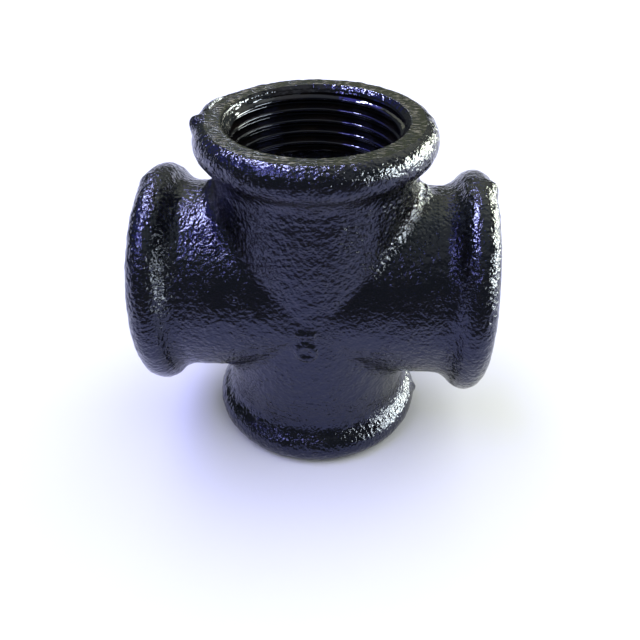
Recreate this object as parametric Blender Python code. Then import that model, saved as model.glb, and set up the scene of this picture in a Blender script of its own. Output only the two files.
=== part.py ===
"""Pipe cross: one malleable iron casting with four female threaded outlets in one plane.

The casting is divided where its shape changes: a hub, which holds the chamber and the rounded
crotches, and four sockets, which hold the threads and the beads. They meet on a cone, so that
the seam passes outside the crotches on the skin and behind the thread in the bore.
The axes of the outlets cross at the origin, the run is along Z and the branches along X.
Metres, +Z up.
"""

import math

import bmesh
import bpy
from mathutils import Matrix, Vector

# Casting
CENTRE_TO_FACE = 0.0340
BARREL_RADIUS = 0.0191
CHAMBER_RADIUS = 0.0167
CROTCH_RADIUS = 0.0035
SEAM_BORE = 0.0197
SEAM_SKIN = 0.0230
SEAM_GAP = 0.0005  # along the axis: 0.3 mm across the cone
BORE_START = SEAM_BORE + SEAM_GAP / 2

# Reinforcing bead around each mouth: half round, run into the barrel with a fillet
BEAD_RADIUS = 0.0223
BEAD_SECTION_RADIUS = 0.0036
BEAD_CENTRE = 0.0306
BEAD_FILLET_RADIUS = 0.0015

# One inch parallel pipe thread: 11 turns to the inch, 55 degrees between the flanks, right hand
THREAD_PITCH = 0.0254 / 11
THREAD_DEPTH = 0.640327 * THREAD_PITCH
THREAD_MAJOR_RADIUS = 0.033249 / 2
THREAD_MINOR_RADIUS = THREAD_MAJOR_RADIUS - THREAD_DEPTH
FLANK_ANGLE = math.radians(27.5)
FIRST_CREST = 0.0318
MOUTH_RADIUS = 0.0167

# Cast mark on the front of the hub: a round pip with a short bar above it
MARK_X = -0.0008
PIP_RADIUS = 0.0021
PIP_Z = -0.0049
BAR_LENGTH = 0.0036
BAR_WIDTH = 0.0012
BAR_Z = -0.0006
MARK_HEIGHT = 0.00035
MARK_ROOT = 0.0010

# Facets
SEGMENTS = 36
BEAD_STEPS = 7
FILLET_STEPS = 2
CROTCH_STEPS = 6
SOLVER_STEPS = 30
MARK_SEGMENTS = 20
WELD_DISTANCE = 0.000002
SHARP_ANGLE = math.radians(32)

# Outlets: name, turn about Y from +Z
OUTLETS = (
    ("top_socket", 0),
    ("right_socket", 90),
    ("bottom_socket", 180),
    ("left_socket", 270),
)


def clear_scene():
    for obj in list(bpy.data.objects):
        bpy.data.objects.remove(obj, do_unlink=True)


def black_lacquer(name, value=0.012, roughness=0.28):
    """Glossy black lacquer over cast iron."""
    material = bpy.data.materials.new(name)
    material.use_nodes = True
    shader = material.node_tree.nodes["Principled BSDF"]
    shader.inputs["Base Color"].default_value = (value, value, value * 1.25, 1)
    shader.inputs["Roughness"].default_value = roughness
    shader.inputs["Metallic"].default_value = 0.0
    shader.inputs["Coat Weight"].default_value = 0.6
    return material


def finish(bm, name):
    """Turns bmesh geometry into a smooth-shaded mesh with sharp edges kept."""
    bmesh.ops.remove_doubles(bm, verts=bm.verts, dist=WELD_DISTANCE)
    bmesh.ops.recalc_face_normals(bm, faces=bm.faces)
    mesh = bpy.data.meshes.new(name)
    bm.to_mesh(mesh)
    bm.free()
    mesh.shade_smooth()
    mesh.set_sharp_from_angle(angle=SHARP_ANGLE)
    return mesh


def add_object(name, mesh, material, parent=None):
    mesh.materials.append(material)
    obj = bpy.data.objects.new(name, mesh)
    obj.parent = parent
    bpy.context.scene.collection.objects.link(obj)
    return obj


def skin_rows(bm, rows):
    """Faces between each ring of points and the next."""
    rings = [[bm.verts.new(point) for point in row] for row in rows]
    for ring, following in zip(rings, rings[1:]):
        for i in range(SEGMENTS):
            j = (i + 1) % SEGMENTS
            bm.faces.new((ring[i], ring[j], following[j], following[i]))


def ring_points(radius, z):
    turn = 2 * math.pi / SEGMENTS
    return [(radius * math.cos(i * turn), radius * math.sin(i * turn), z) for i in range(SEGMENTS)]


def arc(centre, radius, start, end, steps):
    """Points (z, r) on an arc in the section plane, angles in radians from the +z direction."""
    angles = [start + (end - start) * i / steps for i in range(steps + 1)]
    return [(centre[0] + radius * math.cos(a), centre[1] + radius * math.sin(a)) for a in angles]


def outer_profile():
    """Section of a socket's outside as (z, r), from the seam over the bead to the mouth."""
    bead = (BEAD_CENTRE, BEAD_RADIUS - BEAD_SECTION_RADIUS)
    fillet_r = BARREL_RADIUS + BEAD_FILLET_RADIUS
    reach = BEAD_SECTION_RADIUS + BEAD_FILLET_RADIUS
    fillet = (bead[0] - math.sqrt(reach**2 - (fillet_r - bead[1]) ** 2), fillet_r)
    towards_bead = math.atan2(bead[1] - fillet[1], bead[0] - fillet[0])
    face_angle = math.acos((CENTRE_TO_FACE - bead[0]) / BEAD_SECTION_RADIUS)
    points = [(SEAM_SKIN + SEAM_GAP / 2, BARREL_RADIUS)]
    points += arc(fillet, BEAD_FILLET_RADIUS, -math.pi / 2, towards_bead, FILLET_STEPS)
    points += arc(bead, BEAD_SECTION_RADIUS, math.pi + towards_bead, face_angle, BEAD_STEPS)
    points.append((CENTRE_TO_FACE, MOUTH_RADIUS))
    return points


def thread_corners():
    """Corners of the thread form in one pitch, as (fraction of the pitch from a crest, radius)."""
    flank = THREAD_DEPTH * math.tan(FLANK_ANGLE) / THREAD_PITCH
    flat = (1 - 2 * flank) / 2
    return (
        (-flat / 2, THREAD_MINOR_RADIUS),
        (flat / 2, THREAD_MINOR_RADIUS),
        (flat / 2 + flank, THREAD_MAJOR_RADIUS),
        (1 - flat / 2 - flank, THREAD_MAJOR_RADIUS),
    )


def bore_radius(z, thread_radius):
    """The thread, opened by the countersink at the mouth and the cone down to the chamber."""
    mouth_cone = MOUTH_RADIUS - (CENTRE_TO_FACE - z)
    chamber_cone = CHAMBER_RADIUS - (z - BORE_START)
    return max(thread_radius, mouth_cone, chamber_cone)


def threaded_bore(bm):
    """Rows that climb with the helix, cut off flat at the seam and at the face."""
    turns = math.ceil((CENTRE_TO_FACE - BORE_START) / THREAD_PITCH) + 2
    corners = thread_corners()
    columns = []
    for i in range(SEGMENTS + 1):
        angle = 2 * math.pi * i / SEGMENTS
        lead = THREAD_PITCH * (angle / (2 * math.pi) - 0.25)
        column = []
        for turn in range(-turns, 3):
            for fraction, radius in corners:
                z = FIRST_CREST + lead + (turn + fraction) * THREAD_PITCH
                z = min(max(z, BORE_START), CENTRE_TO_FACE)
                r = bore_radius(z, radius)
                column.append(bm.verts.new((r * math.cos(angle), r * math.sin(angle), z)))
        columns.append(column)
    for column, following in zip(columns, columns[1:]):
        for k in range(len(column) - 1):
            bm.faces.new((column[k], following[k], following[k + 1], column[k + 1]))


def socket_mesh():
    """A threaded and beaded outlet, its axis on +Z."""
    bm = bmesh.new()
    threaded_bore(bm)
    profile = [(BORE_START, CHAMBER_RADIUS)] + outer_profile()
    skin_rows(bm, [ring_points(r, z) for z, r in profile])
    return finish(bm, "socket")


def skin_distance(point):
    """Below zero inside the two crossing barrels. The crotch is rounded where they meet at an angle."""
    rounding = CROTCH_RADIUS * max(0.0, 1 - (point.y / BARREL_RADIUS) ** 2)
    run = math.hypot(point.x, point.y) - BARREL_RADIUS
    branch = math.hypot(point.z, point.y) - BARREL_RADIUS
    crotch = math.hypot(max(rounding - run, 0), max(rounding - branch, 0))
    return max(rounding, min(run, branch)) - crotch


def onto_skin(point, outward):
    """The point of the rounded skin that lies outward of a point of the sharp one, by bisection."""
    low, high = 0.0, CROTCH_RADIUS
    for _ in range(SOLVER_STEPS):
        middle = (low + high) / 2
        if skin_distance(point + outward * middle) < 0:
            low = middle
        else:
            high = middle
    return point + outward * high


def barrel_rows():
    """The skin of the hub's +Z arm, from the mitre with its neighbours up to the seam."""
    end = SEAM_SKIN - SEAM_GAP / 2
    rows = []
    for k in range(CROTCH_STEPS + 1):
        share = k / CROTCH_STEPS
        row = []
        for x, y, _ in ring_points(BARREL_RADIUS, 0):
            z = abs(x) + (end - abs(x)) * share
            outward = Vector((x, y, 0)) + (1 - share) * Vector((0, y, abs(x)))
            row.append(onto_skin(Vector((x, y, z)), outward.normalized()))
        rows.append(row)
    return rows


def chamber_rows():
    """The chamber inside the hub's +Z arm, from the mitre up to the seam and across it to the skin."""
    mitre = [(x, y, abs(x)) for x, y, _ in ring_points(CHAMBER_RADIUS, 0)]
    return [mitre,
            ring_points(CHAMBER_RADIUS, SEAM_BORE - SEAM_GAP / 2),
            ring_points(BARREL_RADIUS, SEAM_SKIN - SEAM_GAP / 2)]


def hub_mesh():
    bm = bmesh.new()
    for _, degrees in OUTLETS:
        turn = Matrix.Rotation(math.radians(degrees), 3, "Y")
        for rows in (barrel_rows(), chamber_rows()):
            skin_rows(bm, [[turn @ Vector(point) for point in row] for row in rows])
    return finish(bm, "hub")


def mark_solid(name, outline, material):
    """A low boss that stands out of the front of the hub, with its outline in X and Z."""
    front = -(BARREL_RADIUS + MARK_HEIGHT)
    bm = bmesh.new()
    face = bm.faces.new([bm.verts.new((x, front, z)) for x, z in outline])
    made = bmesh.ops.extrude_face_region(bm, geom=[face])
    verts = [item for item in made["geom"] if isinstance(item, bmesh.types.BMVert)]
    bmesh.ops.translate(bm, verts=verts, vec=(0, MARK_HEIGHT + MARK_ROOT, 0))
    solid = add_object(name, finish(bm, name), material)
    solid.hide_render = True
    solid.display_type = "WIRE"
    return solid


def pip_outline():
    turn = 2 * math.pi / MARK_SEGMENTS
    return [(MARK_X + PIP_RADIUS * math.cos(i * turn), PIP_Z + PIP_RADIUS * math.sin(i * turn))
            for i in range(MARK_SEGMENTS)]


def bar_outline():
    half_length, half_width = BAR_LENGTH / 2, BAR_WIDTH / 2
    return [(MARK_X + x * half_length, BAR_Z + z * half_width)
            for x, z in ((-1, -1), (1, -1), (1, 1), (-1, 1))]


def build():
    clear_scene()
    axes = bpy.data.objects.new("outlet_axes", None)
    axes.empty_display_size = CENTRE_TO_FACE
    bpy.context.scene.collection.objects.link(axes)

    hub = add_object("centre_hub", hub_mesh(), black_lacquer("hub_lacquer"), axes)
    for name, outline in (("mark_pip", pip_outline()), ("mark_bar", bar_outline())):
        boss = mark_solid(name, outline, black_lacquer(name + "_lacquer"))
        union = hub.modifiers.new(name, "BOOLEAN")
        union.operation = "UNION"
        union.solver = "EXACT"
        union.object = boss

    socket = socket_mesh()
    for name, degrees in OUTLETS:
        outlet = add_object(name, socket.copy(), black_lacquer(name + "_lacquer"), axes)
        outlet.rotation_euler.y = math.radians(degrees)
    bpy.data.meshes.remove(socket)


build()
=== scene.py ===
"""Pipe cross: the finished skin, thread and lacquer of a four-way cast fitting, and its stage."""

import math

import bpy
import numpy as np
from bpy.props import FloatProperty, FloatVectorProperty, IntProperty, PointerProperty
from mathutils import Matrix, Vector


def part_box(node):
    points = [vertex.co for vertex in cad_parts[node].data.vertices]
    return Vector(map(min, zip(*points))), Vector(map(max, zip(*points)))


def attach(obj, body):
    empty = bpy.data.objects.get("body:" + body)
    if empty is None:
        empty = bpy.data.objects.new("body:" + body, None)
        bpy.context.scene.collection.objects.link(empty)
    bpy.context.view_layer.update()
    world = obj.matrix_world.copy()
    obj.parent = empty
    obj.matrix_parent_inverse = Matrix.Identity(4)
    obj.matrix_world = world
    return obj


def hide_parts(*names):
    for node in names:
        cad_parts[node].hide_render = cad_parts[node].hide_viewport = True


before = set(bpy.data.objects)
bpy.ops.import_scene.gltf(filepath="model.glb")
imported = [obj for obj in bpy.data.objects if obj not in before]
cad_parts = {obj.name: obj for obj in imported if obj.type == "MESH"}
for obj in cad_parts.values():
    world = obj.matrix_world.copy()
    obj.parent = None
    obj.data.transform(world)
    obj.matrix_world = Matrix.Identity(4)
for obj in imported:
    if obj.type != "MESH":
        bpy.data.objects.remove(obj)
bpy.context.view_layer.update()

bl_info = {
    "name": "Pipe cross",
    "version": (1, 0, 0),
    "blender": (4, 5, 0),
    "location": "View3D > Sidebar > Pipe cross",
    "description": "Casts, threads and lacquers a four-way pipe cross",
    "category": "Add Mesh",
}

# Read from the parts in model.glb: distance of the end faces, radius of the beads and of the barrels, and
# where an outlet meets the hub on the skin and in the bore, about halfway across the cut between them
HALF_CUT = 0.00025
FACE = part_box("top_socket")[1][2]
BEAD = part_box("top_socket")[1][1]
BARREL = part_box("centre_hub")[1][1]
SEAM_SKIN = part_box("centre_hub")[1][2] + HALF_CUT
SEAM_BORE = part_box("top_socket")[0][2] - HALF_CUT

# Outlets: piece, node it stands for, turn about Y from +Z, turn of the thread's start
OUTLETS = (
    ("cast_top_socket", "top_socket", 0, 0),
    ("cast_right_socket", "right_socket", 90, 130),
    ("cast_bottom_socket", "bottom_socket", 180, 215),
    ("cast_left_socket", "left_socket", 270, 60),
)
HUB_PIECE = "cast_hub"

# The "cast" share of a point: 1 on the cast skin, less on a ground face, 0 in the bores
FACE_CAST = 0.3
LEAST_CAST = 0.001

BEAD_SET_BACK = 0.944  # from the face to the middle of the bead's section, in radii of that section
NEARLY_ZERO = 1e-6
WELD_DISTANCE = 1e-7


# ---------------------------------------------------------------- node trees as expressions

class Value:
    """One output of a node. Sums and products of values add Math nodes to its tree."""

    def __init__(self, graph, socket):
        self.graph = graph
        self.socket = socket

    def math(self, operation, *others):
        terms = dict(enumerate((self, *others)))
        return self.graph.add("ShaderNodeMath", {"operation": operation}, terms)["Value"]

    def __add__(self, other):
        return self.math("ADD", other)

    __radd__ = __add__

    def __sub__(self, other):
        return self.math("SUBTRACT", other)

    def __rsub__(self, other):
        return self.math("MULTIPLY", -1.0).math("ADD", other)

    def __mul__(self, other):
        return self.math("MULTIPLY", other)

    __rmul__ = __mul__

    def __truediv__(self, other):
        return self.math("DIVIDE", other)

    def __rtruediv__(self, other):
        return self.math("POWER", -1.0).math("MULTIPLY", other)

    def __neg__(self):
        return self.math("MULTIPLY", -1.0)

    def __abs__(self):
        return self.math("ABSOLUTE")


class Outputs:
    """The outputs of a node that was just added, by name."""

    def __init__(self, graph, node):
        self.graph = graph
        self.node = node

    def __getitem__(self, name):
        found = next(s for s in self.node.outputs if s.enabled and s.name == name)
        return Value(self.graph, found)


class Graph:
    """Adds nodes to a tree, each from its type, its settings and the values of its sockets."""

    def __init__(self, tree):
        self.tree = tree

    def add(self, kind, settings=None, inputs=None):
        """A new node's outputs. An input's key is its socket's name, or its number."""
        node = self.tree.nodes.new(kind)
        for name, value in (settings or {}).items():
            setattr(node, name, value)
        for key, value in (inputs or {}).items():
            if isinstance(key, int):
                socket = node.inputs[key]
            else:
                socket = next(s for s in node.inputs if s.enabled and s.name == key)
            if isinstance(value, Value):
                self.tree.links.new(value.socket, socket)
            else:
                socket.default_value = value
        return Outputs(self, node)

    def ease(self, value, start, end, low=0.0, high=1.0):
        """Goes smoothly from low to high as the value goes from start to end."""
        return self.add("ShaderNodeMapRange", {"interpolation_type": "SMOOTHSTEP"}, {
            "Value": value, "From Min": start, "From Max": end, "To Min": low, "To Max": high})["Result"]

    def vector(self, operation, first, second=None, scale=None):
        """A Vector Math node's result: a number for a distance, else a vector."""
        inputs = {0: first}
        if second is not None:
            inputs[1] = second
        if scale is not None:
            inputs["Scale"] = scale
        made = self.add("ShaderNodeVectorMath", {"operation": operation}, inputs)
        return made["Value" if operation == "DISTANCE" else "Vector"]

    def noise(self, vector, size, detail=2.0, roughness=0.5, seed=0.0, distortion=0.0):
        """Noise from 0 to 1 whose grains are about as wide as size, in metres."""
        return self.add("ShaderNodeTexNoise", {"noise_dimensions": "4D"}, {
            "Vector": vector, "W": seed, "Scale": 1.0 / size, "Detail": detail,
            "Roughness": roughness, "Distortion": distortion})["Fac"]


SOCKET_TYPES = {"float": "NodeSocketFloat", "int": "NodeSocketInt", "material": "NodeSocketMaterial"}


def new_shape_tree(name, inputs):
    """A Geometry Nodes tree with a geometry socket and the named inputs, and its group input."""
    tree = bpy.data.node_groups.new(name, "GeometryNodeTree")
    tree.is_modifier = True
    tree.interface.new_socket("Geometry", in_out="INPUT", socket_type="NodeSocketGeometry")
    for label, kind in inputs.items():
        tree.interface.new_socket(label, in_out="INPUT", socket_type=SOCKET_TYPES[kind])
    tree.interface.new_socket("Geometry", in_out="OUTPUT", socket_type="NodeSocketGeometry")
    graph = Graph(tree)
    return graph, graph.add("NodeGroupInput")


def end_shape_tree(graph, geometry, selection, material):
    """Realize Instances, Set Material on the selected faces, and the group output."""
    real = graph.add("GeometryNodeRealizeInstances", None, {"Geometry": geometry})["Geometry"]
    done = graph.add("GeometryNodeSetMaterial", None, {
        "Geometry": real, "Selection": selection, "Material": material})["Geometry"]
    graph.add("NodeGroupOutput", None, {"Geometry": done})
    return graph.tree


def run_tree(obj, tree, values):
    """Runs a shape tree on the object and keeps the result as its plain mesh."""
    modifier = obj.modifiers.new(tree.name, "NODES")
    modifier.node_group = tree
    for item in tree.interface.items_tree:
        if item.in_out == "INPUT" and item.name in values:
            modifier[item.identifier] = values[item.name]
    bpy.context.view_layer.update()
    graph = bpy.context.evaluated_depsgraph_get()
    mesh = bpy.data.meshes.new_from_object(
        obj.evaluated_get(graph), preserve_all_data_layers=True, depsgraph=graph)
    obj.modifiers.remove(modifier)
    plain = obj.data
    obj.data = mesh
    mesh.name = obj.name
    bpy.data.meshes.remove(plain)


# ---------------------------------------------------------------- settings

def length(name, description, default):
    """A setting in metres."""
    return FloatProperty(name=name, description=description, default=default, min=0.0,
                         subtype="DISTANCE", unit="LENGTH", precision=5)


def shade(name, description, default):
    """A colour setting."""
    return FloatVectorProperty(name=name, description=description, default=default, size=4,
                               min=0.0, max=1.0, subtype="COLOR")


class CastingSettings(bpy.types.PropertyGroup):
    """Sizes of the cast body and of its sand-cast skin."""

    chamber: length("Chamber radius", "Radius of the chamber behind the threads", 0.0167)
    crotch: length("Crotch radius", "Rounding where two barrels meet at the side", 0.0035)
    bead_section: length("Bead section", "Radius of the half round bead's section", 0.0036)
    bead_fillet: length("Bead fillet", "Radius between the bead and the barrel", 0.0045)
    face_edge: length("Face edge", "Rounding between the bead and the flat face", 0.0006)
    lump_size: length("Lump size", "Width of the broad unevenness", 0.0050)
    lump_height: length("Lump height", "Height of the broad unevenness", 0.00016)
    grain_size: length("Grain size", "Width of the coarse sand grain", 0.0015)
    grain_height: length("Grain height", "Height of the coarse sand grain", 0.00016)
    flash_width: length("Flash width", "Half width of the parting line", 0.0004)
    flash_height: length("Flash height", "Height of the parting line", 0.00010)
    mark_height: length("Mark height", "Height of the cast mark", 0.00050)
    half_ring: IntProperty(name="Half ring", description="Faces in half a turn of the skin",
                           default=188, min=24, max=190)
    seed: IntProperty(name="Seed", description="Seed of the unevenness", default=7)


class ThreadSettings(bpy.types.PropertyGroup):
    """Sizes of the pipe thread in each outlet."""

    pitch: length("Pitch", "Distance between turns, 11 to the inch", 0.0254 / 11)
    major: length("Major radius", "Radius at the root of the inside thread", 0.033249 / 2)
    minor: length("Minor radius", "Radius at the crest of the inside thread", 0.030291 / 2)
    first_crest: length("First crest", "Height of the first crest at the back", 0.0318)
    mouth: length("Mouth radius", "Radius of the countersink at the face", 0.0170)
    burr: length("Burr", "Rounding between the thread and its countersink", 0.00012)
    row: length("Row height", "Height of a row of faces in the thread", 0.00012)


class LacquerSettings(bpy.types.PropertyGroup):
    """Colour and gloss of the black lacquer."""

    colour: shade("Colour", "Colour of the lacquer", (0.0035, 0.0035, 0.0050, 1.0))
    thin_colour: shade("Thin colour", "Colour where the lacquer is thin", (0.0085, 0.0068, 0.0060, 1.0))
    tint: shade("Sheen tint", "Tint of the reflections", (0.55, 0.61, 1.0, 1.0))
    face_colour: shade("Face colour", "Colour in the scratches of a ground face", (0.004, 0.006, 0.003, 1.0))
    rubbed_colour: shade("Rubbed colour", "Colour of their rubbed crests", (0.19, 0.175, 0.135, 1.0))
    face_tint: shade("Face tint", "Tint of a ground face's reflections", (0.70, 0.80, 0.80, 1.0))
    gloss: FloatProperty(name="Gloss roughness", description="Roughness of the wet-looking lacquer",
                         default=0.08, min=0.0, max=1.0, subtype="FACTOR")
    pebble_size: length("Pebble size", "Width of the pebbles that show through the lacquer", 0.00072)
    pebble_depth: length("Pebble depth", "Depth of the pebbled surface", 0.00031)
    dome_size: length("Dome size", "Width of the sand grains' domes", 0.00075)
    dome_depth: length("Dome depth", "Height of the sand grains' domes", 0.00016)
    fine_size: length("Fine grain size", "Width of the finest grain", 0.00035)
    fine_depth: length("Fine grain depth", "Depth of the finest grain", 0.00008)


class StageSettings(bpy.types.PropertyGroup):
    """Camera, floor and lights."""

    azimuth: FloatProperty(name="Azimuth", description="Camera's turn to the right of the front",
                           default=math.radians(3.60), subtype="ANGLE", unit="ROTATION")
    elevation: FloatProperty(name="Elevation", description="Camera's height above the horizon",
                             default=math.radians(37.90), subtype="ANGLE", unit="ROTATION")
    roll: FloatProperty(name="Roll", description="Camera's turn about its own axis",
                        default=math.radians(-0.18), subtype="ANGLE", unit="ROTATION")
    distance: length("Distance", "From the camera to its target", 0.15234)
    lens: FloatProperty(name="Lens", description="Focal length on a 36 mm sensor, in millimetres",
                        default=39.20, min=1.0, subtype="DISTANCE_CAMERA", unit="CAMERA")
    target: FloatVectorProperty(name="Target", description="Point in the middle of the view",
                                subtype="TRANSLATION", unit="LENGTH", size=3, precision=5,
                                default=(0.000647, 0.0, -0.011769))
    floor_colour: shade("Floor colour", "Colour of the pale floor", (0.80, 0.82, 0.90, 1.0))
    reach: length("Light distance", "From the fitting to each softbox", 0.90)
    # The dark card in front is painted shade that shows only in the lacquer's reflections of the floor in
    # front
    reflected_shade_start: length("Flag distance", "From the fitting to the dark card in front of it", 0.088)


SETTINGS = {"pipe_cross_casting": CastingSettings, "pipe_cross_thread": ThreadSettings,
            "pipe_cross_lacquer": LacquerSettings, "pipe_cross_stage": StageSettings}


# ---------------------------------------------------------------- the skin's plain grids

def spaced(start, end, step):
    """Values from start to end in even steps no longer than step."""
    return np.linspace(start, end, max(2, math.ceil(abs(end - start) / step) + 1))


def arc(centre, radius, start, end, step):
    """Points (z, r) and outward directions along an arc, its angles counted from +z."""
    angles = spaced(start, end, step / radius)
    outward = np.stack([np.cos(angles), np.sin(angles)], axis=1)
    return np.asarray(centre) + radius * outward, outward


def skin_profile(casting, thread, step):
    """Section of an outlet's skin from the seam over the bead to the mouth: points (z, r) and outward."""
    set_back = casting.bead_section * BEAD_SET_BACK
    bead = np.array([FACE - set_back, BEAD - casting.bead_section])
    # The fillet touches the barrel and the bead's arc
    drop = BARREL + casting.bead_fillet - bead[1]
    reach = casting.bead_section + casting.bead_fillet
    fillet = np.array([bead[0] - math.sqrt(reach**2 - drop**2), BARREL + casting.bead_fillet])
    towards = math.atan2(bead[1] - fillet[1], bead[0] - fillet[0])
    # The face's rounded edge touches the bead's arc and the face plane
    edge = casting.face_edge
    edge_r = bead[1] + math.sqrt((casting.bead_section - edge) ** 2 - (set_back - edge) ** 2)
    corner = np.array([FACE - edge, edge_r])
    leave = math.atan2(corner[1] - bead[1], corner[0] - bead[0])
    barrel_z = spaced(SEAM_SKIN, fillet[0], step)[:-1]
    barrel = np.stack([barrel_z, np.full_like(barrel_z, BARREL)], axis=1)
    face_r = spaced(edge_r, thread.mouth, step)[1:]
    face = np.stack([np.full_like(face_r, FACE), face_r], axis=1)
    hollow, hollow_out = arc(fillet, casting.bead_fillet, -math.pi / 2, towards, step)
    crown, crown_out = arc(bead, casting.bead_section, math.pi + towards, leave, step)
    lip, lip_out = arc(corner, edge, leave, 0.0, step / 2)
    points = np.concatenate([barrel, hollow, crown[1:], lip[1:], face])
    outward = np.concatenate([np.tile([0.0, 1.0], (len(barrel), 1)), -hollow_out,
                              crown_out[1:], lip_out[1:], np.tile([1.0, 0.0], (len(face), 1))])
    return points, outward


def turned(profile, columns):
    """Rings of points from a section (z, r), its axis on +Z: an array of rows x columns x 3."""
    angles = 2 * math.pi * np.arange(columns) / columns
    z = np.repeat(profile[:, :1], columns, axis=1)
    r = profile[:, 1:]
    return np.stack([r * np.cos(angles), r * np.sin(angles), z], axis=2)


def ring_faces(rows, columns, closed_rows=False):
    """Quads between neighbouring rings, whose points are numbered row by row."""
    row = np.arange(rows if closed_rows else rows - 1)[:, None]
    column = np.arange(columns)[None, :]
    above = (row + 1) % rows
    beside = (column + 1) % columns
    quads = np.stack([row * columns + column, row * columns + beside,
                      above * columns + beside, above * columns + column], axis=2)
    return quads.reshape(-1, 4)


def turn_about_y(degrees):
    """Matrix that turns +Z towards +X by the angle."""
    angle = math.radians(degrees)
    return np.array([[math.cos(angle), 0, math.sin(angle)], [0, 1, 0],
                     [-math.sin(angle), 0, math.cos(angle)]]).round(12)


def make_piece(name, points, faces, outward, cast, local=None):
    """A mesh object with its points' outward directions and cast shares, and their places on +Z."""
    mesh = bpy.data.meshes.new(name)
    mesh.from_pydata(points.tolist(), [], faces)
    vectors = {"outward": outward, "local": local}
    for label, vector in vectors.items():
        if vector is not None:
            mesh.attributes.new(label, "FLOAT_VECTOR", "POINT").data.foreach_set(
                "vector", vector.astype(np.float32).ravel())
    mesh.attributes.new("cast", "FLOAT", "POINT").data.foreach_set("value", cast.astype(np.float32))
    obj = bpy.data.objects.new(name, mesh)
    bpy.context.scene.collection.objects.link(obj)
    return obj


def weld(points, faces, outward, cast):
    """Joins points that lie on each other, and drops points of no face and faces shrunk to a line."""
    used, renumbered = np.unique(faces, return_inverse=True)
    faces = renumbered.reshape(faces.shape)
    points, outward, cast = points[used], outward[used], cast[used]
    _, first, index = np.unique(np.round(points / WELD_DISTANCE).astype(np.int64), axis=0,
                                return_index=True, return_inverse=True)
    faces = index.reshape(-1)[faces]
    kept = []
    for quad in faces:
        corners = list(dict.fromkeys(quad.tolist()))
        if len(corners) > 2:
            kept.append(corners)
    return points[first], kept, outward[first], cast[first]


def socket_grid(casting, thread):
    """The closed grid of one outlet on +Z: skin, face, plain bore and the cone at the seam."""
    columns = 2 * casting.half_ring
    step = math.pi * BARREL / casting.half_ring
    skin, skin_out = skin_profile(casting, thread, step)
    bore_z = spaced(FACE, SEAM_BORE, thread.row)[1:]
    bore = np.stack([bore_z, np.full_like(bore_z, thread.mouth)], axis=1)
    profile = np.concatenate([skin, bore])
    outward = np.concatenate([skin_out, np.tile([0.0, -1.0], (len(bore), 1))])
    from_mouth = np.clip((skin[:, 1] - thread.mouth) / (2 * step), 0, 1)
    skin_cast = np.where(skin[:, 0] > FACE - NEARLY_ZERO, FACE_CAST * from_mouth, 1.0)
    cast = np.concatenate([skin_cast, np.zeros(len(bore))])
    points = turned(profile, columns).reshape(-1, 3)
    directions = turned(outward, columns).reshape(-1, 3)
    faces = ring_faces(len(profile), columns, closed_rows=True)
    return points, faces.tolist(), directions, np.repeat(cast, columns)


def crossing_distance(casting, points):
    """Below zero inside the two crossing barrels, whose crotch is rounded where they meet at an angle."""
    x, y, z = points[..., 0], points[..., 1], points[..., 2]
    rounding = casting.crotch * np.clip(1 - (y / BARREL) ** 2, 0, None)
    run = np.hypot(x, y) - BARREL
    branch = np.hypot(z, y) - BARREL
    crotch = np.hypot(np.clip(rounding - run, 0, None), np.clip(rounding - branch, 0, None))
    return np.maximum(rounding, np.minimum(run, branch)) - crotch


def onto_crossing(casting, points, outward):
    """Moves points of the sharp crossing outward to the rounded one, by bisection."""
    low = np.zeros(points.shape[:-1])
    high = np.full(points.shape[:-1], casting.crotch)
    for _ in range(32):
        middle = (low + high) / 2
        inside = crossing_distance(casting, points + outward * middle[..., None]) < 0
        low = np.where(inside, middle, low)
        high = np.where(inside, high, middle)
    moved = np.where(high > WELD_DISTANCE, high, 0)
    return points + outward * moved[..., None]


def hub_side(casting, side):
    """The front (-1) or back (+1) of the hub's skin: points, quads and outward directions."""
    half = casting.half_ring
    step = math.pi * BARREL / half
    inner = BARREL * np.sin(np.linspace(-math.pi / 2, math.pi / 2, half + 1))
    tail = spaced(BARREL, SEAM_SKIN, step)[1:]
    line = np.concatenate([-tail[::-1], inner, tail])
    x, z = np.meshgrid(line, line, indexing="ij")
    near = np.minimum(abs(x), abs(z)).clip(0, BARREL)
    y = side * np.sqrt(np.clip(BARREL**2 - near**2, 0, None))
    points = np.stack([x, y, z], axis=2)

    def barrel_normal(across, along_z):
        part = np.clip(across / BARREL, -1, 1)
        rest = side * np.sqrt(np.clip(1 - part**2, 0, None))
        zero = np.zeros_like(part)
        return np.stack([part, rest, zero] if along_z else [zero, rest, part], axis=2)

    # Near a mitre each outward direction leans from its own barrel's towards the other's
    run, branch = barrel_normal(x, True), barrel_normal(z, False)
    on_run = (abs(z) >= abs(x))[..., None]
    far, close = np.maximum(abs(x), abs(z)), np.minimum(abs(x), abs(z))
    share = ((SEAM_SKIN - far) / np.clip(SEAM_SKIN - close, WELD_DISTANCE, None)).clip(0, 1)[..., None]
    outward = np.where(on_run, run + share * branch, branch + share * run)
    outward /= np.linalg.norm(outward, axis=2, keepdims=True)
    points = onto_crossing(casting, points, outward)

    # The grid is a cross: its four corners, off both barrels, have no faces
    size = len(line)
    i, j = np.meshgrid(np.arange(size - 1), np.arange(size - 1), indexing="ij")
    limit = len(tail)
    off_x = (i < limit) | (i >= size - 1 - limit)
    off_z = (j < limit) | (j >= size - 1 - limit)
    keep = ~(off_x & off_z)
    i, j = i[keep], j[keep]
    quads = np.stack([i * size + j, (i + 1) * size + j, (i + 1) * size + j + 1, i * size + j + 1], axis=1)
    if side > 0:
        quads = quads[:, ::-1]
    return points.reshape(-1, 3), quads, outward.reshape(-1, 3)


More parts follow.
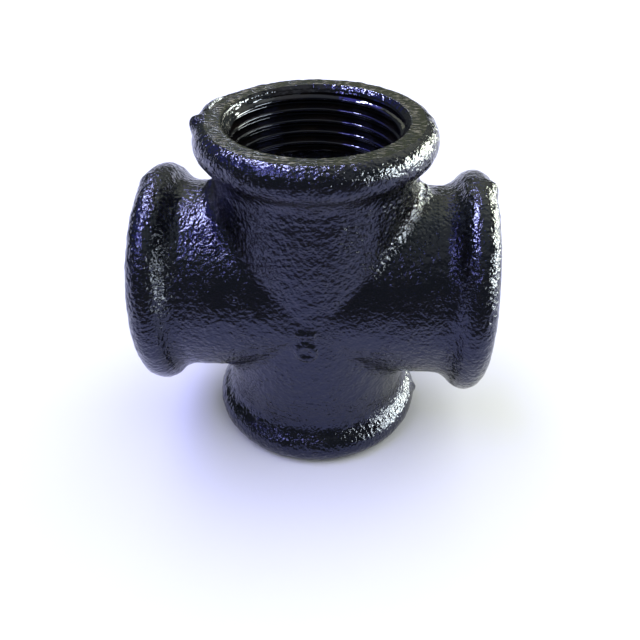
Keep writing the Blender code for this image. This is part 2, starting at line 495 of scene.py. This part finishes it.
def hub_chamber(casting, degrees, rows=5):
    """One arm of the chamber, from the mitre to the seam, and the cone across the seam."""
    columns = 2 * casting.half_ring
    ring = turned(np.array([[0.0, casting.chamber]]), columns)[0]
    mitre = ring.copy()
    mitre[:, 2] = abs(ring[:, 0])
    end = ring.copy()
    end[:, 2] = SEAM_BORE
    share = np.linspace(0, 1, rows)[:, None, None]
    arm = mitre + (end - mitre) * share
    rim = turned(np.array([[SEAM_SKIN, BARREL]]), columns)
    grid = np.concatenate([arm, rim])
    rim_out = turned(np.array([[0.0, 1.0]]), columns)
    out = np.concatenate([np.tile(-ring / casting.chamber, (rows, 1, 1)), rim_out])
    turn = turn_about_y(degrees)
    faces = ring_faces(rows + 1, columns)[:, ::-1]
    return grid.reshape(-1, 3) @ turn.T, faces, out.reshape(-1, 3) @ turn.T


def hub_grid(casting):
    """The closed grid of the hub, its sides and its chamber welded along their edges."""
    parts = [hub_side(casting, side) for side in (-1, 1)]
    cast = [np.ones(len(part[0])) for part in parts]
    for _, _, degrees, _ in OUTLETS:
        part = hub_chamber(casting, degrees)
        parts.append(part)
        share = np.zeros(len(part[0]))
        share[-2 * casting.half_ring:] = 1.0
        cast.append(share)
    starts = np.cumsum([0] + [len(part[0]) for part in parts[:-1]])
    points, outward = (np.concatenate([part[item] for part in parts]) for item in (0, 2))
    faces = np.concatenate([part[1] + start for part, start in zip(parts, starts)])
    return weld(points, faces, outward, np.concatenate(cast))


# ---------------------------------------------------------------- shape trees

# Thread form: where the flank starts and ends, in pitches from a crest
FLANK_START, FLANK_END = 0.02, 0.48

# Lacquer fills the groove where the countersink cuts through it: from which depth below the face the
# groove opens and by which it is whole, and how far it may then go below the countersink
GROOVE_OPENS, GROOVE_WHOLE = 0.0012, 0.0030
GROOVE_LEAST, GROOVE_MOST = 0.0001, 0.0300

# The parting line: how far it wanders off its plane and over what length, and the length of its breaks
WANDER, WANDER_LENGTH, BREAK_LENGTH = 0.0008, 0.004, 0.006


def compare(graph, operation, first, second):
    """Whether a comparison of two numbers holds."""
    return graph.add("FunctionNodeCompare", {"data_type": "FLOAT", "operation": operation},
                     {"A": first, "B": second})["Result"]


def read_attribute(graph, name, data_type="FLOAT"):
    """The mesh's own attribute of that name."""
    return graph.add("GeometryNodeInputNamedAttribute", {"data_type": data_type},
                     {"Name": name})["Attribute"]


def cut_thread_tree():
    """Moves the plain bore of an outlet on to a right-hand thread with its countersink."""
    graph, given = new_shape_tree("Cut thread", {
        "Turn": "float", "Start": "float", "Pitch": "float", "Major radius": "float",
        "Minor radius": "float", "First crest": "float", "Face": "float", "Mouth radius": "float",
        "Bore start": "float", "Chamber radius": "float", "Burr": "float", "Finish": "material"})
    position = graph.add("GeometryNodeInputPosition")["Position"]
    in_bore = compare(graph, "LESS_THAN", read_attribute(graph, "cast"), LEAST_CAST)
    local = graph.add("ShaderNodeVectorRotate", {"rotation_type": "Y_AXIS"},
                      {"Vector": position, "Angle": -given["Turn"]})["Vector"]
    axes = graph.add("ShaderNodeSeparateXYZ", None, {"Vector": local})
    x, y, z = axes["X"], axes["Y"], axes["Z"]
    angle = y.math("ARCTAN2", x) - math.pi / 2 - given["Start"]
    turns = (z - given["First crest"]) / given["Pitch"] - angle / (2 * math.pi)
    from_crest = turns.math("PINGPONG", 0.5)
    form = graph.ease(from_crest, FLANK_START, FLANK_END, given["Minor radius"], given["Major radius"])
    depth = given["Face"] - z
    mouth_cone = given["Mouth radius"] - depth
    filled = mouth_cone + graph.ease(depth, GROOVE_OPENS, GROOVE_WHOLE, GROOVE_LEAST, GROOVE_MOST)
    chamber_cone = given["Chamber radius"] - (z - given["Bore start"])
    thread = form.math("MINIMUM", filled)
    radius = thread.math("SMOOTH_MAX", mouth_cone, given["Burr"]).math("MAXIMUM", chamber_cone)
    grow = radius / (x * x + y * y).math("SQRT")
    cut = graph.add("ShaderNodeCombineXYZ", None, {"X": x * grow, "Y": y * grow, "Z": z})["Vector"]
    placed = graph.add("ShaderNodeVectorRotate", {"rotation_type": "Y_AXIS"},
                       {"Vector": cut, "Angle": given["Turn"]})["Vector"]
    moved = graph.add("GeometryNodeSetPosition", None, {
        "Geometry": given["Geometry"], "Selection": in_bore, "Position": placed})["Geometry"]
    return end_shape_tree(graph, moved, in_bore, given["Finish"])


# Where the mould left a lump: a point on or near the parting plane, its width and its height
NUBS = (
    ((-0.0218, -0.0005, 0.0326), 0.0016, 0.0011),
    ((-0.0196, 0.0055, 0.0336), 0.0048, 0.0007),
    ((0.0221, 0.0, -0.0305), 0.0012, 0.0006),
    ((-0.0332, 0.0, 0.0212), 0.0024, 0.0003),
    ((0.0333, 0.0, 0.0212), 0.0018, 0.0008),
    ((0.0205, 0.0, 0.0205), 0.0019, 0.0016),
    ((-0.0205, 0.0, 0.0205), 0.0016, 0.0012),
    ((-0.0330, 0.0, -0.0212), 0.0015, 0.0005),
)
MARK_X = -0.0008
PIP_Z, PIP_RADIUS = -0.0049, 0.0021
BAR_Z, BAR_HALF_LENGTH, BAR_HALF_WIDTH = -0.0006, 0.0018, 0.0006
MARK_EDGE = 0.0004
DISH_DEPTH = 0.8  # share of the pip's height


def cast_mark(graph, position):
    """Height of the mark from 0 to 1: a dished round pip with a short bar above it, in front only."""
    axes = graph.add("ShaderNodeSeparateXYZ", None, {"Vector": position})
    x, y, z = axes["X"] - MARK_X, axes["Y"], axes["Z"]
    from_pip = (x * x + (z - PIP_Z) * (z - PIP_Z)).math("SQRT")
    pip = graph.ease(from_pip, PIP_RADIUS + MARK_EDGE, PIP_RADIUS - MARK_EDGE)
    dish = graph.ease(from_pip, PIP_RADIUS * 0.7, PIP_RADIUS * 0.2)
    past_end = (abs(x) - (BAR_HALF_LENGTH - BAR_HALF_WIDTH)).math("MAXIMUM", 0.0)
    from_bar = (past_end * past_end + (z - BAR_Z) * (z - BAR_Z)).math("SQRT")
    bar = graph.ease(from_bar, BAR_HALF_WIDTH + MARK_EDGE, BAR_HALF_WIDTH - MARK_EDGE * 0.75)
    in_front = graph.ease(y, -BARREL * 0.8, -BARREL * 0.85)
    return (pip - dish * DISH_DEPTH).math("MAXIMUM", bar) * in_front


def cast_skin_tree():
    """Roughens a casting's skin: lumps, sand grain, the parting line with its nubs, and the mark."""
    graph, given = new_shape_tree("Cast skin", {
        "Lump size": "float", "Lump height": "float", "Grain size": "float", "Grain height": "float",
        "Flash width": "float", "Flash height": "float", "Mark height": "float", "Seed": "int",
        "Finish": "material", "Face finish": "material"})
    position = graph.add("GeometryNodeInputPosition")["Position"]
    outward = read_attribute(graph, "outward", "FLOAT_VECTOR")
    cast = read_attribute(graph, "cast")
    seed = given["Seed"]
    lumps = graph.noise(position, given["Lump size"], 1.0, 0.5, seed) - 0.5
    grain = graph.noise(position, given["Grain size"], 1.0, 0.5, seed + 3.0) - 0.5
    height = lumps * given["Lump height"] * 2.0 + grain * given["Grain height"] * 2.0

    y = graph.add("ShaderNodeSeparateXYZ", None, {"Vector": position})["Y"]
    wander = (graph.noise(position, WANDER_LENGTH, 1.0, 0.5, seed + 5.0) - 0.5) * WANDER
    off_line = (y + wander) / given["Flash width"]
    ridge = (-(off_line * off_line)).math("EXPONENT")
    broken = graph.ease(graph.noise(position, BREAK_LENGTH, 2.0, 0.6, seed + 9.0), 0.35, 0.65, 0.2, 1.0)
    height = height + ridge * broken * given["Flash height"]
    for centre, width, tall in NUBS:
        away = graph.vector("DISTANCE", position, centre) / width
        height = height + (-(away * away)).math("EXPONENT") * tall
    height = height + cast_mark(graph, position) * given["Mark height"]

    offset = graph.vector("SCALE", outward, scale=height * cast)
    moved = graph.add("GeometryNodeSetPosition", None, {
        "Geometry": given["Geometry"], "Offset": offset})["Geometry"]
    on_skin = compare(graph, "GREATER_EQUAL", cast, LEAST_CAST)
    on_face = graph.add("FunctionNodeBooleanMath", {"operation": "AND"}, {
        0: on_skin, 1: compare(graph, "LESS_THAN", cast, (1 + FACE_CAST) / 2)})["Boolean"]
    skinned = graph.add("GeometryNodeSetMaterial", None, {
        "Geometry": moved, "Selection": on_skin, "Material": given["Finish"]})["Geometry"]
    return end_shape_tree(graph, skinned, on_face, given["Face finish"])


# ---------------------------------------------------------------- materials

def get_material(name, finish, settings=None):
    """The material of that name. Its finish, a function, gives the shader's inputs when it's made."""
    material = bpy.data.materials.get(name)
    if material is None:
        material = bpy.data.materials.new(name)
        material.use_nodes = True
        material.node_tree.nodes.clear()
        graph = Graph(material.node_tree)
        place = graph.add("ShaderNodeTexCoord")["Object"]
        shader = graph.add("ShaderNodeBsdfPrincipled", None, finish(graph, place, settings))["BSDF"]
        graph.add("ShaderNodeOutputMaterial", None, {"Surface": shader})
    return material


def mix_colour(graph, factor, first, second):
    """The first colour where the factor is 0 and the second where it is 1."""
    return graph.add("ShaderNodeMix", {"data_type": "RGBA"},
                     {"Factor": factor, "A": first, "B": second})["Result"]


def bump(graph, height):
    """The normal of a surface with this height, in metres."""
    return graph.add("ShaderNodeBump", None, {
        "Height": height, "Distance": 1.0, "Strength": 1.0})["Normal"]


# Refraction of the lacquer and of the rubbed faces
LACQUER_IOR, FACE_IOR = 1.6, 1.5

# Width of the patches where the lacquer on the casting is thick or thin. Below the first height it has
# run together and is smoother than above the second.
PATCH = 0.006
RUN_TOGETHER, STILL_PEBBLED = -0.020, 0.006

# Lacquer in the bores: width of the patches, and width and depth of its runs and of its lumps, which
# fade from the first depth below the face to the second
BORE_PATCH = 0.005
RUN_SIZE, RUN_DEPTH = 0.0022, 0.00012
MOUTH_LUMP_SIZE, MOUTH_LUMP_DEPTH = 0.0012, 0.00040
LUMPS_FADE, LUMPS_END = 0.0006, 0.0018

# Ground faces: width of the patches, number of scratches to the metre along and across, their depth, and
# how far they sway and over what length
FACE_PATCH = 0.004
SCRATCHES = (650.0, 2600.0, 0.0)
SCRATCH_DEPTH = 0.00030
SWAY, SWAY_LENGTH = 0.0012, 0.003


def cast_lacquer(graph, place, lacquer):
    """Glossy black lacquer over a sand-cast skin: pebbled, thinner on the high spots."""
    pebbles = graph.noise(place, lacquer.pebble_size, 2.0, 0.55, 1.0, 0.4)
    domes = graph.add("ShaderNodeTexVoronoi", {"feature": "SMOOTH_F1"}, {
        "Vector": place, "Scale": 1 / lacquer.dome_size, "Smoothness": 0.6, "Randomness": 1.0})["Distance"]
    fine = graph.noise(place, lacquer.fine_size, 2.0, 0.5, 4.0)
    broad = graph.noise(place, PATCH, 3.0, 0.6, 8.0)
    high = graph.ease(pebbles, 0.45, 0.75)
    thin = high * graph.ease(broad, 0.40, 0.65)
    z = graph.add("ShaderNodeSeparateXYZ", None, {"Vector": place})["Z"]
    rough = (graph.ease(broad, 0.35, 0.65, 0.55, 1.25)
             * graph.ease(z, RUN_TOGETHER, STILL_PEBBLED, 0.80, 1.0))
    height = (pebbles * lacquer.pebble_depth - domes * lacquer.dome_depth
              + fine * lacquer.fine_depth) * rough
    return {
        "Base Color": mix_colour(graph, thin, tuple(lacquer.colour), tuple(lacquer.thin_colour)),
        "Roughness": graph.ease(broad, 0.3, 0.7, lacquer.gloss * 0.75, lacquer.gloss * 1.35),
        "Specular Tint": tuple(lacquer.tint),
        "IOR": LACQUER_IOR,
        "Normal": bump(graph, height),
    }


def bore_lacquer(graph, place, lacquer):
    """The same lacquer on the cut thread: faint runs, and lumps where it gathered at the mouth."""
    runs = graph.noise(place, RUN_SIZE, 2.0, 0.5, 2.0)
    lumps = graph.noise(place, MOUTH_LUMP_SIZE, 2.0, 0.6, 3.0)
    axes = graph.add("ShaderNodeSeparateXYZ", None, {"Vector": place})
    depth = FACE - abs(axes["X"]).math("MAXIMUM", abs(axes["Z"]))
    at_mouth = graph.ease(depth, LUMPS_END, LUMPS_FADE)
    broad = graph.noise(place, BORE_PATCH, 2.0, 0.5, 6.0)
    thin = graph.ease(broad, 0.4, 0.7)
    return {
        "Base Color": mix_colour(graph, thin, tuple(lacquer.colour), tuple(lacquer.thin_colour)),
        "Roughness": graph.ease(broad, 0.3, 0.7, lacquer.gloss * 0.6, lacquer.gloss * 1.1),
        "Specular Tint": tuple(lacquer.tint),
        "IOR": LACQUER_IOR,
        "Normal": bump(graph, runs * RUN_DEPTH + lumps * at_mouth * MOUTH_LUMP_DEPTH),
    }


def face_lacquer(graph, place, lacquer):
    """Lacquer over a ground face: short torn scratches along one way, rubbed pale on their crests."""
    local = graph.add("ShaderNodeAttribute", {"attribute_name": "local"})["Vector"]
    sway = (graph.noise(local, SWAY_LENGTH, 1.0, 0.5, 7.0) - 0.5) * SWAY
    bent = graph.add("ShaderNodeCombineXYZ", None, {"X": 0.0, "Y": sway, "Z": 0.0})["Vector"]
    stretched = graph.vector("MULTIPLY", graph.vector("ADD", local, bent), SCRATCHES)
    marks = graph.noise(stretched, 1.0, 2.0, 0.55, 2.0)
    broad = graph.noise(place, FACE_PATCH, 2.0, 0.5, 5.0)
    rubbed = graph.ease(marks, 0.50, 0.64) * graph.ease(broad, 0.35, 0.60, 0.25, 1.0)
    return {
        "Base Color": mix_colour(graph, rubbed, tuple(lacquer.face_colour), tuple(lacquer.rubbed_colour)),
        "Roughness": graph.ease(marks, 0.35, 0.65, 0.12, 0.26),
        "Specular Tint": tuple(lacquer.face_tint),
        "IOR": FACE_IOR,
        "Normal": bump(graph, marks * SCRATCH_DEPTH),
    }


def floor_paint(graph, place, stage):
    """Matt pale floor with a trace of paper tone."""
    mottle = graph.noise(place, 0.4, 2.0, 0.5, 3.0)
    colour = tuple(stage.floor_colour)
    darker = tuple(c * 0.985 for c in colour[:3]) + (1.0,)
    return {"Base Color": mix_colour(graph, mottle, colour, darker), "Roughness": 0.85, "IOR": 1.35}


def reflected_shade_paint(graph, place, settings):
    """Matt dark card: painted shade, seen only in the lacquer's reflections of the floor in front."""
    grain = graph.noise(place, 0.05, 2.0, 0.5, 5.0)
    card = mix_colour(graph, grain, (0.085, 0.080, 0.055, 1.0), (0.11, 0.10, 0.07, 1.0))
    return {"Base Color": card, "Roughness": 0.8}


# Each finish of the fitting: its material's name and the function that describes it
ON_CASTING = ("black_lacquer_on_casting", cast_lacquer)
ON_THREAD = ("black_lacquer_on_thread", bore_lacquer)
ON_FACE = ("black_lacquer_on_face", face_lacquer)


# ---------------------------------------------------------------- pieces

SHARP_ANGLE = math.radians(50)


def finish_piece(obj, node):
    """Smooth shading with sharp edges, the piece parented to the root body, and its part from model.glb
    hidden.
    """
    obj.data.shade_smooth()
    obj.data.set_sharp_from_angle(angle=SHARP_ANGLE)
    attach(obj, "root")
    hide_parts(node)


class CROSS_OT_hub(bpy.types.Operator):
    """Cast the hub: the crossing of the barrels, its rounded crotches, its chamber and its mark"""

    bl_idname = "pipe_cross.hub"
    bl_label = "Cast hub"

    def execute(self, context):
        casting = context.scene.pipe_cross_casting
        obj = make_piece(HUB_PIECE, *hub_grid(casting))
        obj.data.materials.append(get_material(*ON_CASTING, context.scene.pipe_cross_lacquer))
        roughen(obj, context.scene)
        finish_piece(obj, "centre_hub")
        return {"FINISHED"}


class CROSS_OT_sockets(bpy.types.Operator):
    """Cast the four outlets with their beads and cut their threads"""

    bl_idname = "pipe_cross.sockets"
    bl_label = "Cast and thread outlets"

    def execute(self, context):
        scene = context.scene
        casting, thread = scene.pipe_cross_casting, scene.pipe_cross_thread
        points, faces, outward, cast = socket_grid(casting, thread)
        in_bore = get_material(*ON_THREAD, scene.pipe_cross_lacquer)
        tree = cut_thread_tree()
        for piece, node, degrees, start in OUTLETS:
            turn = turn_about_y(degrees)
            obj = make_piece(piece, points @ turn.T, faces, outward @ turn.T, cast, points)
            obj.data.materials.append(in_bore)
            run_tree(obj, tree, {
                "Turn": math.radians(degrees), "Start": math.radians(start), "Pitch": thread.pitch,
                "Major radius": thread.major, "Minor radius": thread.minor,
                "First crest": thread.first_crest, "Face": FACE, "Mouth radius": thread.mouth,
                "Bore start": SEAM_BORE, "Chamber radius": casting.chamber, "Burr": thread.burr,
                "Finish": in_bore})
            roughen(obj, scene)
            finish_piece(obj, node)
        return {"FINISHED"}


def roughen(obj, scene):
    """Runs the cast skin tree with the settings of the casting."""
    casting = scene.pipe_cross_casting
    tree = bpy.data.node_groups.get("Cast skin") or cast_skin_tree()
    run_tree(obj, tree, {
        "Lump size": casting.lump_size, "Lump height": casting.lump_height,
        "Grain size": casting.grain_size, "Grain height": casting.grain_height,
        "Flash width": casting.flash_width, "Flash height": casting.flash_height,
        "Mark height": casting.mark_height, "Seed": casting.seed,
        "Finish": get_material(*ON_CASTING, scene.pipe_cross_lacquer),
        "Face finish": get_material(*ON_FACE, scene.pipe_cross_lacquer)})


class CROSS_OT_seams(bpy.types.Operator):
    """Give the pieces of the one casting the same shading where they meet"""

    bl_idname = "pipe_cross.seams"
    bl_label = "Match seam shading"

    def execute(self, context):
        names = [HUB_PIECE] + [outlet[0] for outlet in OUTLETS]
        pieces = [bpy.data.objects[name].data for name in names]
        shading = [skin_normals(mesh) for mesh in pieces]
        shared = {}
        for mesh, (keys, corner_vertex, normals, on_skin) in zip(pieces, shading):
            for vertex, normal in zip(corner_vertex[on_skin], normals[on_skin]):
                shared.setdefault(keys[vertex], {}).setdefault(mesh.name, normal)
        for mesh, (keys, corner_vertex, normals, on_skin) in zip(pieces, shading):
            for corner in np.flatnonzero(on_skin):
                sides = shared[keys[corner_vertex[corner]]]
                if len(sides) > 1:
                    total = sum(sides.values())
                    normals[corner] = total / np.linalg.norm(total)
            mesh.normals_split_custom_set(normals.tolist())
        return {"FINISHED"}


# How far from a seam, along and across its barrel, a corner may be that belongs to the seam
SEAM_ALONG, SEAM_ACROSS = 1e-4, 1e-3
MOST_AXIS_SHARE = 0.5  # of a normal on the skin; on the seam's own faces it is larger


def skin_normals(mesh):
    """Keys of the vertices, and the vertex, the normal and whether it's on a seam's skin of each corner."""
    points = np.empty(len(mesh.vertices) * 3)
    mesh.vertices.foreach_get("co", points)
    points = points.reshape(-1, 3)
    keys = [tuple(key) for key in np.round(points / NEARLY_ZERO).astype(np.int64)]
    corner_vertex = np.empty(len(mesh.loops), dtype=np.int64)
    mesh.loops.foreach_get("vertex_index", corner_vertex)
    normals = np.empty(len(mesh.loops) * 3)
    mesh.corner_normals.foreach_get("vector", normals)
    normals = normals.reshape(-1, 3)
    place = points[corner_vertex]
    along = np.maximum(abs(place[:, 0]), abs(place[:, 2]))
    across = np.hypot(np.minimum(abs(place[:, 0]), abs(place[:, 2])), place[:, 1])
    at_seam = (abs(along - SEAM_SKIN) < SEAM_ALONG) & (abs(across - BARREL) < SEAM_ACROSS)
    axis_share = np.where(abs(place[:, 0]) > abs(place[:, 2]), abs(normals[:, 0]), abs(normals[:, 2]))
    return keys, corner_vertex, normals, at_seam & (axis_share < MOST_AXIS_SHARE)


# ---------------------------------------------------------------- stage

ROOM_IN_GLOSS = (0.125, 0.145, 0.125, 1.0)
ROOM_ON_MATT = (0.25, 0.26, 0.24, 1.0)
BACKDROP = (0.90, 0.94, 1.0, 1.0)
FLOOR_HALF = 1.1
FLAG_LIFT = 0.001
LIGHT_SPACING = 0.02  # in light distances: no two lights share a plane, where each would hide the other

# Softboxes: name, bearing from +Y towards +X, height, width and depth in degrees as the fitting
# sees them, radiance, colour, and what they light
SOFTBOXES = (
    ("right_window", 76, 13, 66, 16, 36.0, (0.97, 1.0, 0.72), "GLOSS"),
    ("left_glow", -72, 38, 30, 18, 1.0, (0.14, 0.14, 1.0), "GLOSS"),
    ("right_key", 72, 30, 60, 40, 1.05, (1.0, 1.0, 0.90), "MATT"),
    ("overhead_key", 0, 90, 100, 100, 1.04, (1.0, 1.0, 1.03), "MATT"),
    ("back_fill", 20, 47, 75, 40, 0.8, (1.0, 1.0, 0.64), "ALL"),
    ("ceiling_fill", 0, 90, 70, 70, 0.40, (1.0, 1.0, 0.70), "ALL"),
)

# Ceiling lights, in units of their height above the fitting: name, centre, width and length, turn
# in degrees of the long side from +Y towards -X, radiance, colour, and what they light
CEILING_LIGHTS = (
    ("strip_light", (-0.42, 0.30), (0.080, 0.60), -16, 100.0, (0.94, 0.92, 1.0), "GLOSS"),
    ("front_lamp", (-0.62, -0.55), (0.24, 0.18), -16, 26.0, (0.70, 0.68, 1.0), "GLOSS"),
    ("strip_glow", (-0.46, 0.15), (0.44, 1.50), -16, 2.8, (0.12, 0.08, 1.0), "GLOSS"),
    ("left_key", (-0.60, 0.15), (0.60, 1.5), 0, 4.3, (0.27, 0.27, 1.0), "MATT"),
)


class CROSS_OT_stage(bpy.types.Operator):
    """Set up the pale floor, the soft lights and the camera"""

    bl_idname = "pipe_cross.stage"
    bl_label = "Set the stage"

    def execute(self, context):
        stage = context.scene.pipe_cross_stage
        add_floor(stage)
        for order, softbox in enumerate(SOFTBOXES):
            add_softbox(stage.reach * (1 + LIGHT_SPACING * order), *softbox)
        for order, ceiling_light in enumerate(CEILING_LIGHTS, start=1):
            add_ceiling_light(stage.reach * (1 - LIGHT_SPACING * order), *ceiling_light)
        add_surroundings(context.scene)
        context.scene.camera = add_camera(stage)
        context.scene.view_settings.view_transform = "Standard"
        return {"FINISHED"}


def flat_panel(name, back, height, material):
    """A level panel of the stage, as wide as the floor, from the floor's front edge to back."""
    half = FLOOR_HALF
    corners = [(-half, -half, height), (half, -half, height), (half, back, height), (-half, back, height)]
    mesh = bpy.data.meshes.new(name)
    mesh.from_pydata(corners, [], [(0, 1, 2, 3)])
    mesh.materials.append(material)
    panel = bpy.data.objects.new(name, mesh)
    bpy.context.scene.collection.objects.link(panel)
    return panel


def add_floor(stage):
    """The pale floor, and a dark card on its front part that only shows in the lacquer: painted shade in its
    reflections of the floor in front.
    """
    flat_panel("floor", FLOOR_HALF, -FACE, get_material("pale_floor", floor_paint, stage))
    flag = flat_panel("dark_flag", -stage.reflected_shade_start, -FACE + FLAG_LIFT,
                      get_material("dark_card", reflected_shade_paint))
    # Hidden from the camera, from matt surfaces and from shadows, the card is painted shade in the lacquer's
    # reflections
    flag.visible_camera = flag.visible_diffuse = flag.visible_shadow = False


def direction(bearing, height):
    """Unit vector at a bearing from +Y towards +X and a height above the horizon, in degrees."""
    turn, lift = math.radians(bearing), math.radians(height)
    return np.array([math.sin(turn) * math.cos(lift), math.cos(turn) * math.cos(lift), math.sin(lift)])


def look_matrix(place, target, roll=0.0):
    """Location and rotation of a camera or a light at place that looks at target."""
    place, target = Vector(place), Vector(target)
    turn = (target - place).to_track_quat("-Z", "Y").to_matrix().to_4x4()
    return Matrix.Translation(place) @ turn @ Matrix.Rotation(roll, 4, "Z")


def add_area_light(name, place, target, width, depth, radiance, colour, lights, turn=0.0):
    """An area light that lights matt surfaces, shows in the gloss, or both."""
    light = bpy.data.lights.new(name, "AREA")
    light.shape = "RECTANGLE"
    light.size, light.size_y = width, depth
    light.energy = radiance * math.pi * width * depth
    light.color = colour
    obj = bpy.data.objects.new(name, light)
    obj.matrix_world = look_matrix(place, target, turn)
    obj.visible_camera = False
    obj.visible_diffuse = lights != "GLOSS"
    obj.visible_glossy = lights != "MATT"
    bpy.context.scene.collection.objects.link(obj)


def add_softbox(reach, name, bearing, height, width, depth, radiance, colour, lights):
    """A softbox that faces the fitting, from its row of SOFTBOXES."""
    sides = [2 * reach * math.tan(math.radians(angle / 2)) for angle in (width, depth)]
    add_area_light(name, direction(bearing, height) * reach, (0, 0, 0), *sides, radiance, colour, lights)


def add_ceiling_light(reach, name, centre, size, turn, radiance, colour, lights):
    """A light that faces straight down, from its row of CEILING_LIGHTS."""
    place = np.array([*centre, 1.0]) * reach
    below = place - [0, 0, 1]
    sides = [side * reach for side in size]
    add_area_light(name, place, below, *sides, radiance, colour, lights, math.radians(turn))


def add_surroundings(scene):
    """A room, dim in the reflections and lighter to matt surfaces, and a pale backdrop to the camera."""
    world = bpy.data.worlds.new("studio")
    world.use_nodes = True
    world.node_tree.nodes.clear()
    graph = Graph(world.node_tree)
    paths = graph.add("ShaderNodeLightPath")
    room = mix_colour(graph, paths["Is Diffuse Ray"], ROOM_IN_GLOSS, ROOM_ON_MATT)
    colour = mix_colour(graph, paths["Is Camera Ray"], room, BACKDROP)
    sky = graph.add("ShaderNodeBackground", None, {"Color": colour, "Strength": 1.0})["Background"]
    graph.add("ShaderNodeOutputWorld", None, {"Surface": sky})
    scene.world = world


def add_camera(stage):
    """The camera at its bearing and height, with its target in the middle of the view."""
    data = bpy.data.cameras.new("camera")
    data.lens = stage.lens
    data.sensor_width = 36.0
    data.clip_start = 0.005
    camera = bpy.data.objects.new("camera", data)
    bearing = 180.0 - math.degrees(stage.azimuth)
    back = direction(bearing, math.degrees(stage.elevation))
    target = np.array(stage.target)
    camera.matrix_world = look_matrix(target + back * stage.distance, target, stage.roll)
    bpy.context.scene.collection.objects.link(camera)
    return camera


class CROSS_PT_panel(bpy.types.Panel):
    """Settings and steps of the pipe cross"""

    bl_label = "Pipe cross"
    bl_idname = "CROSS_PT_panel"
    bl_space_type = "VIEW_3D"
    bl_region_type = "UI"
    bl_category = "Pipe cross"

    def draw(self, context):
        for group in SETTINGS:
            box = self.layout.box()
            settings = getattr(context.scene, group)
            for name in settings.bl_rna.properties.keys():
                if name not in ("rna_type", "name"):
                    box.prop(settings, name)
        for step in STEPS:
            self.layout.operator(step.bl_idname)


STEPS = (CROSS_OT_stage, CROSS_OT_hub, CROSS_OT_sockets, CROSS_OT_seams)
CLASSES = (*SETTINGS.values(), *STEPS, CROSS_PT_panel)


def register():
    for cls in CLASSES:
        bpy.utils.register_class(cls)
    for name, cls in SETTINGS.items():
        setattr(bpy.types.Scene, name, PointerProperty(type=cls))


def unregister():
    for name in SETTINGS:
        delattr(bpy.types.Scene, name)
    for cls in reversed(CLASSES):
        bpy.utils.unregister_class(cls)


def main():
    register()
    bpy.ops.pipe_cross.stage()
    bpy.ops.pipe_cross.hub()
    bpy.ops.pipe_cross.sockets()
    bpy.ops.pipe_cross.seams()


def plain(box):
    """A box as lists of plain numbers."""
    return [[float(number) for number in corner] for corner in box]


if __name__ == "__main__":
    main()
